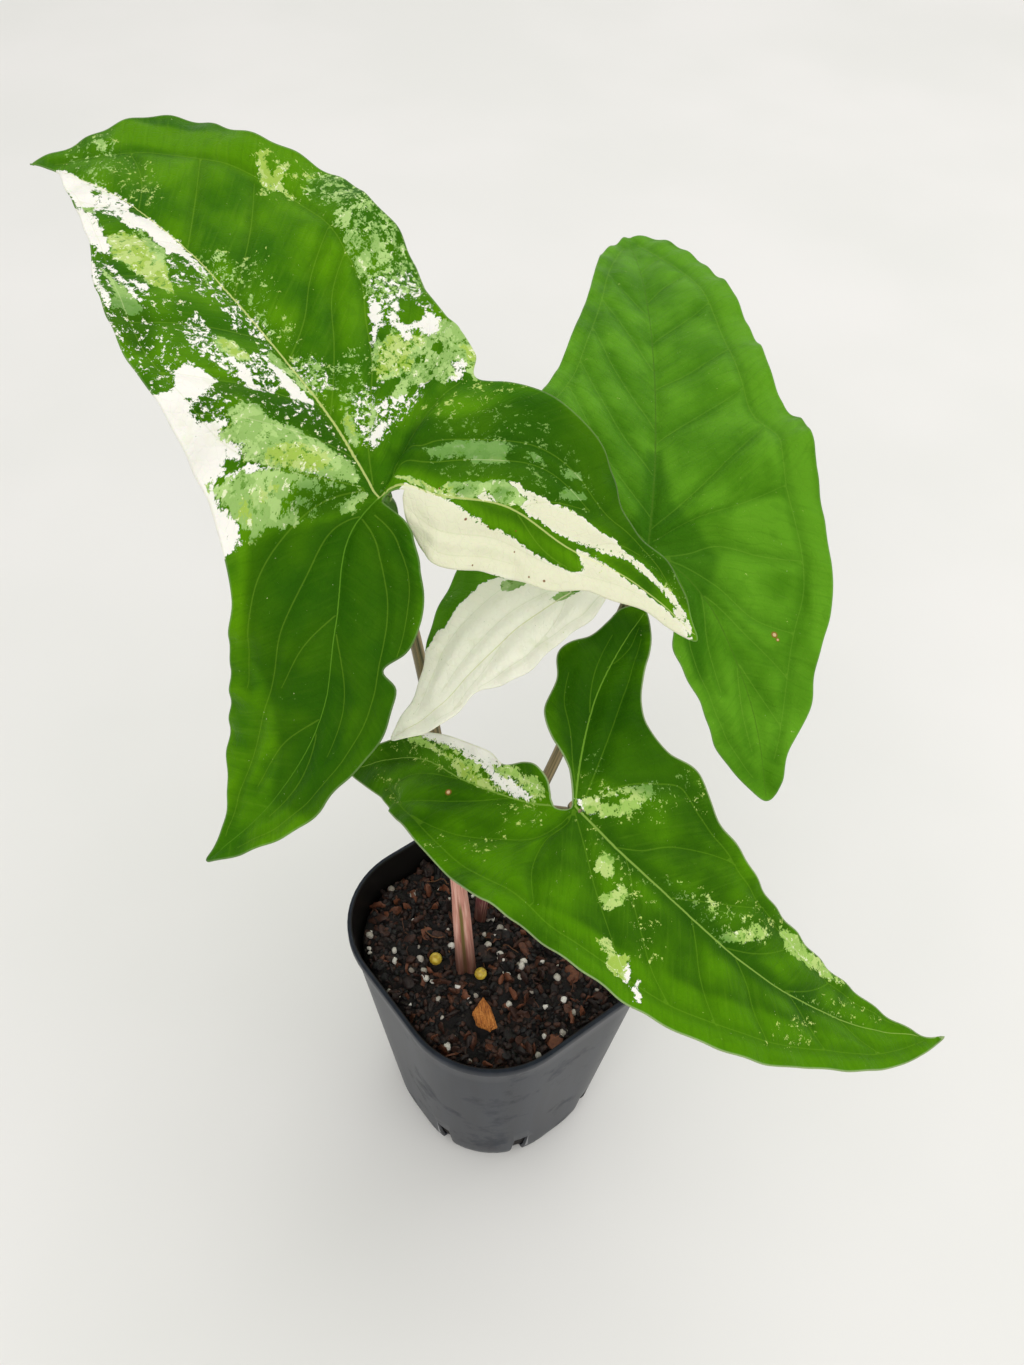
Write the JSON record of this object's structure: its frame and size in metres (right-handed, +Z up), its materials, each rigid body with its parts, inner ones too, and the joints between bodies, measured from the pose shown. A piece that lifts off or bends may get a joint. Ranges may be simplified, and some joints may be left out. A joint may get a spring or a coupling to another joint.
{
  "type": "potted arrowhead plant",
  "caption": "Potted arrowhead plant: variegated three-lobed leaves on long stalks, rooted in bark and perlite mix in a small square nursery pot.",
  "frame": {"origin": "middle of the pot's underside, on the surface it stands on", "axes": "+Z up; X and Y along the sides of the square pot; the corner between -X and -Y faces the picture's camera"},
  "size_m": [0.1856, 0.2335, 0.2367],
  "materials": {
    "pot_plastic": "dark grey thin blown plastic, satin",
    "potting_mix": "moist peat and bark mix with perlite, matte",
    "fertiliser_prill": "yellow coated grain, satin",
    "bark": "orange-brown bark flake, matte",
    "stalk_skin": "smooth olive-brown stalk skin, pink at the foot, satin",
    "leaf_blade": "green leaf with cream and pale green variegation, satin"
  },
  "bodies": {
    "root": {"pot": "pot_plastic", "soil": "potting_mix", "prill_1": "fertiliser_prill", "prill_2": "fertiliser_prill", "bark_chip": "bark", "stalk_left": "stalk_skin", "stalk_right": "stalk_skin", "stalk_front": "stalk_skin", "leaf_left": "leaf_blade", "leaf_right": "leaf_blade", "leaf_front": "leaf_blade"}
  },
  "joints": []
}
